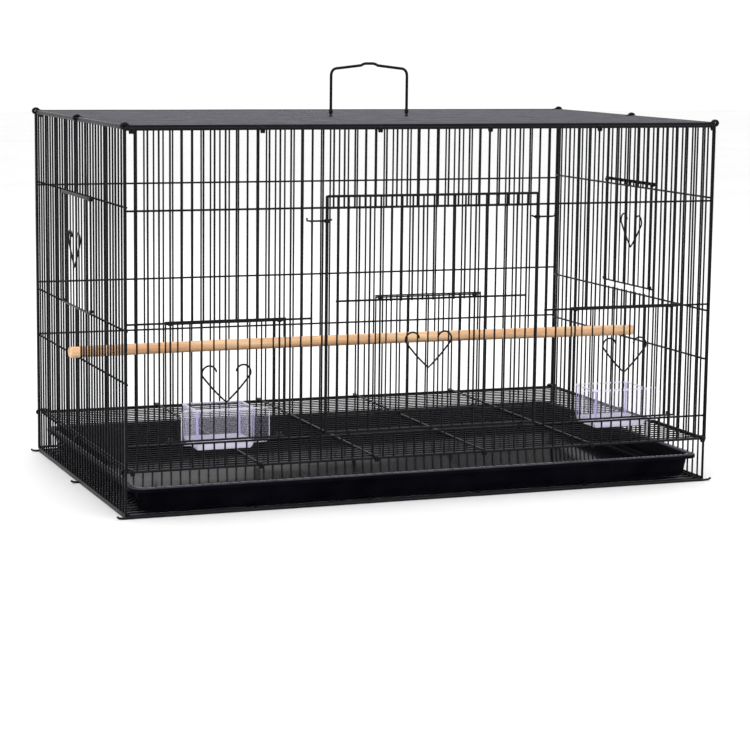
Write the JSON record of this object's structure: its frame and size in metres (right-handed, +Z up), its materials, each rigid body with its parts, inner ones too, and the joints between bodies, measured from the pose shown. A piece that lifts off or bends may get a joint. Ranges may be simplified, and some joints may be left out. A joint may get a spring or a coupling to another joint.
{
  "type": "bird cage",
  "caption": "Rectangular wire flight cage with a slide-out tray, sliding doors with heart pulls, a drop-down front door, seed cups, a perch and a bail handle.",
  "frame": {"origin": "middle of the footprint, at floor level", "axes": "+X to the right seen from the front, +Y to the back, +Z up"},
  "size_m": [0.784, 0.4688, 0.526],
  "materials": {
    "wire": "semi-gloss black powder coat",
    "tray_plastic": "glossy moulded black",
    "cup_plastic": "clear with a faint lavender tint",
    "perch_wood": "plain sanded dowel"
  },
  "bodies": {
    "cage": {"back_panel": "wire", "back_rail_mid": "wire", "back_rail_perch": "wire", "back_rail_upper": "wire", "base_cross_wire_1": "wire", "base_cross_wire_2": "wire", "base_cross_wire_3": "wire", "base_cross_wire_4": "wire", "base_cross_wire_5": "wire", "base_cross_wire_6": "wire", "base_panel": "wire", "front_panel": "wire", "front_rail_left_low": "wire", "front_rail_left_mid": "wire", "front_rail_right_low": "wire", "front_rail_right_mid": "wire", "front_rail_upper": "wire", "grate": "wire", "grate_cross_wire_1": "wire", "grate_cross_wire_2": "wire", "grate_cross_wire_3": "wire", "grate_cross_wire_4": "wire", "grate_cross_wire_5": "wire", "grate_cross_wire_6": "wire", "left_panel": "wire", "left_rail_mid": "wire", "left_rail_perch": "wire", "left_rail_upper": "wire", "right_panel": "wire", "right_rail_mid": "wire", "right_rail_perch": "wire", "right_rail_upper": "wire", "top_cross_wire_1": "wire", "top_cross_wire_2": "wire", "top_cross_wire_3": "wire", "top_cross_wire_4": "wire", "top_cross_wire_5": "wire", "top_cross_wire_6": "wire", "top_panel": "wire"},
    "front_door": {"front_door": "wire", "front_door_rail_upper": "wire", "front_door_rail_middle": "wire", "front_door_rail_low": "wire", "front_latch_left": "wire", "front_latch_right": "wire"},
    "centre_door": {"centre_door": "wire", "centre_heart": "wire"},
    "left_feeder": {"left_feeder_door": "wire", "left_feeder_heart": "wire"},
    "right_feeder": {"right_feeder_door": "wire", "right_feeder_heart": "wire"},
    "left_nest": {"left_nest_door": "wire", "left_nest_heart": "wire"},
    "right_nest": {"right_nest_door": "wire", "right_nest_heart": "wire"},
    "handle": {"handle": "wire"},
    "tray": {"tray": "tray_plastic"},
    "left_cup": {"left_cup": "cup_plastic"},
    "right_cup": {"right_cup": "cup_plastic"},
    "perch": {"perch": "perch_wood"}
  },
  "joints": [
    {"name": "front_door_hinge", "type": "hinge", "parent": "cage", "child": "front_door", "pos_m": [0, -0.2288, 0.09], "axis": [1, 0, 0], "range_deg": [0, 105]},
    {"name": "centre_door_slide", "type": "slide", "parent": "front_door", "child": "centre_door", "axis": [0, 0, 1], "range_m": [0, 0.1]},
    {"name": "left_feeder_slide", "type": "slide", "parent": "cage", "child": "left_feeder", "axis": [0, 0, 1], "range_m": [0, 0.125]},
    {"name": "right_feeder_slide", "type": "slide", "parent": "cage", "child": "right_feeder", "axis": [0, 0, 1], "range_m": [0, 0.125]},
    {"name": "left_nest_slide", "type": "slide", "parent": "cage", "child": "left_nest", "axis": [0, 0, 1], "range_m": [0, 0.08]},
    {"name": "right_nest_slide", "type": "slide", "parent": "cage", "child": "right_nest", "axis": [0, 0, 1], "range_m": [0, 0.08]},
    {"name": "handle_fold", "type": "hinge", "parent": "cage", "child": "handle", "pos_m": [0.003, 0.0036, 0.456], "axis": [1, 0, 0], "range_deg": [-75, 75]},
    {"name": "tray_slide", "type": "slide", "parent": "cage", "child": "tray", "axis": [0, -1, 0], "range_m": [0, 0.4]},
    {"name": "left_cup_lift", "type": "slide", "parent": "cage", "child": "left_cup", "axis": [0, 0, 1], "range_m": [0, 0.06]},
    {"name": "right_cup_lift", "type": "slide", "parent": "cage", "child": "right_cup", "axis": [0, 0, 1], "range_m": [0, 0.06]},
    {"name": "perch_lift", "type": "slide", "parent": "cage", "child": "perch", "axis": [0, 0, 1], "range_m": [0, 0.045]}
  ]
}
